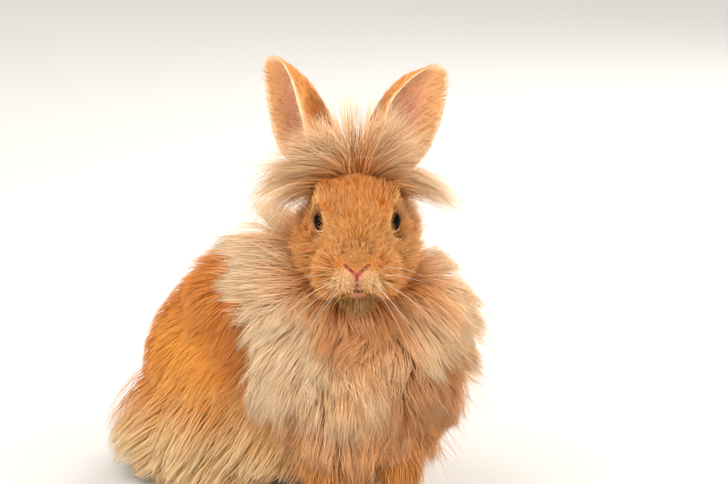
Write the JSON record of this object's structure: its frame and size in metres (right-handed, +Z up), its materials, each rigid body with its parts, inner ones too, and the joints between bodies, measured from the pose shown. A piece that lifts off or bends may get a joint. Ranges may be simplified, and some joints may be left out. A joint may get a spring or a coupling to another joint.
{
  "type": "lionhead rabbit",
  "caption": "Life-size still lionhead rabbit, sitting with its face to the front and its rump turned aside, with a mane, a forelock and a long skirt of hair.",
  "frame": {"origin": "middle of the bounding box on the floor, under the rabbit", "axes": "+Z up; the face looks along -Y and the rabbit's left side is towards +X"},
  "size_m": [0.2502, 0.2786, 0.2843],
  "materials": {
    "short_coat": "short dense fur, orange tan, matt, with a soft sheen",
    "mane": "long soft mane hair, cream at the tips and tan below",
    "body_coat": "dense orange brown fur of medium length",
    "long_coat": "long soft hair, orange above and cream at the tips",
    "leg_coat": "short fur, tan to cream",
    "ear": "thin skin, rosy inside the cup, with very short orange fur on the back",
    "eye": "wet dark brown, with a clear shine"
  },
  "bodies": {
    "root": {"head": "short_coat", "neck_mane": "mane", "torso": "body_coat", "tail": "long_coat", "ear_left": "ear", "eye_left": "eye", "haunch_left": "long_coat", "foreleg_left": "leg_coat", "hind_foot_left": "leg_coat", "ear_right": "ear", "eye_right": "eye", "haunch_right": "long_coat", "foreleg_right": "leg_coat", "hind_foot_right": "leg_coat"}
  },
  "joints": []
}
